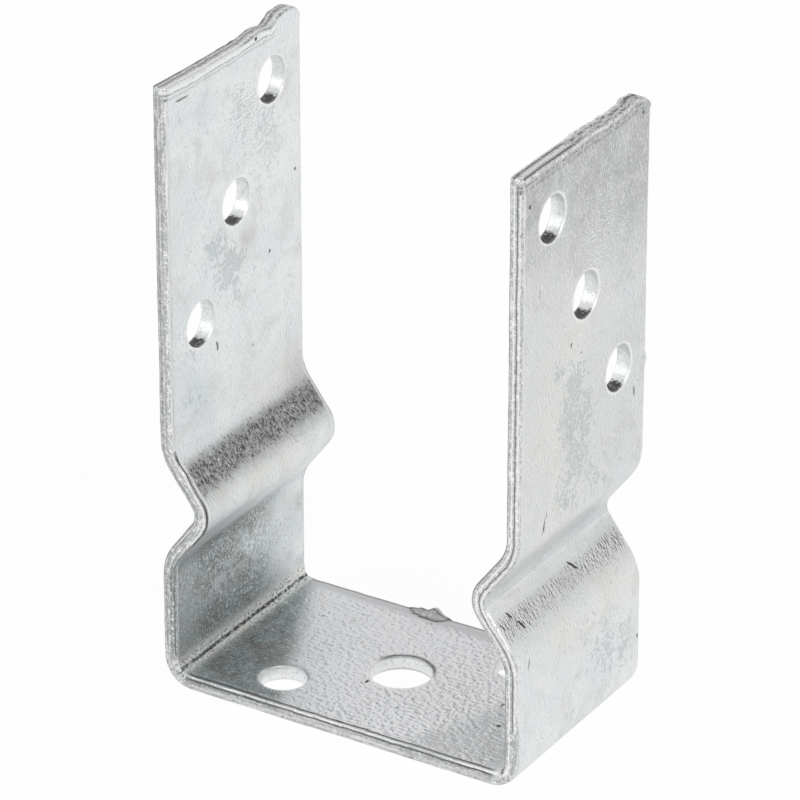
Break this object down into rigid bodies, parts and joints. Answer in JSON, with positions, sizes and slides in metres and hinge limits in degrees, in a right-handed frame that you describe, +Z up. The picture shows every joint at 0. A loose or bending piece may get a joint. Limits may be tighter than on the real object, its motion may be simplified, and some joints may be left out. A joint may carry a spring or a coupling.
{
  "type": "u bracket",
  "caption": "Galvanised U-shaped post bracket folded from flat bar, with inward kinks that carry the post and holes in its arms and base.",
  "frame": {"origin": "middle of the base's underside, on the surface that the bracket is bolted to", "axes": "+Z up the arms, X from arm to arm, Y across the bar"},
  "size_m": [0.103, 0.06, 0.164],
  "materials": {
    "zinc": "hot-dip galvanised steel, matte, mottled, with fine scratches"
  },
  "bodies": {
    "root": {"u_bracket": "zinc"}
  },
  "joints": []
}
